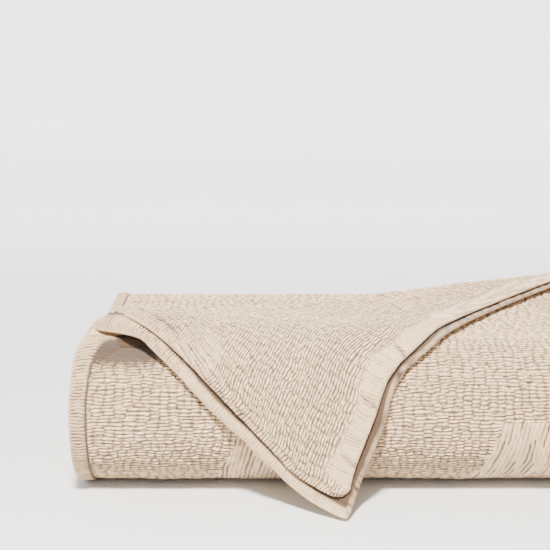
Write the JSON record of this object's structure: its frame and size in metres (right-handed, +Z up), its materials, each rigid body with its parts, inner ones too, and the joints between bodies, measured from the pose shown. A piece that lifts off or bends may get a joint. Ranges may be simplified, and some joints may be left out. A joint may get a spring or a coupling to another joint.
{
  "type": "folded woven coverlet",
  "caption": "Puckered woven bed coverlet folded back and forth into a long stack, with a rounded front fold and one doubled corner turned down over the front to the surface.",
  "frame": {"origin": "centre of the bounding box's base, on the surface the stack lies on", "axes": "+X along the stack's long side, +Z up, -Y towards the rounded front fold and the turned-down corner"},
  "size_m": [0.7454, 0.4892, 0.2272],
  "materials": {
    "cloth": "natural beige puckered cotton weave, matt"
  },
  "bodies": {
    "root": {"coverlet": "cloth"}
  },
  "joints": []
}
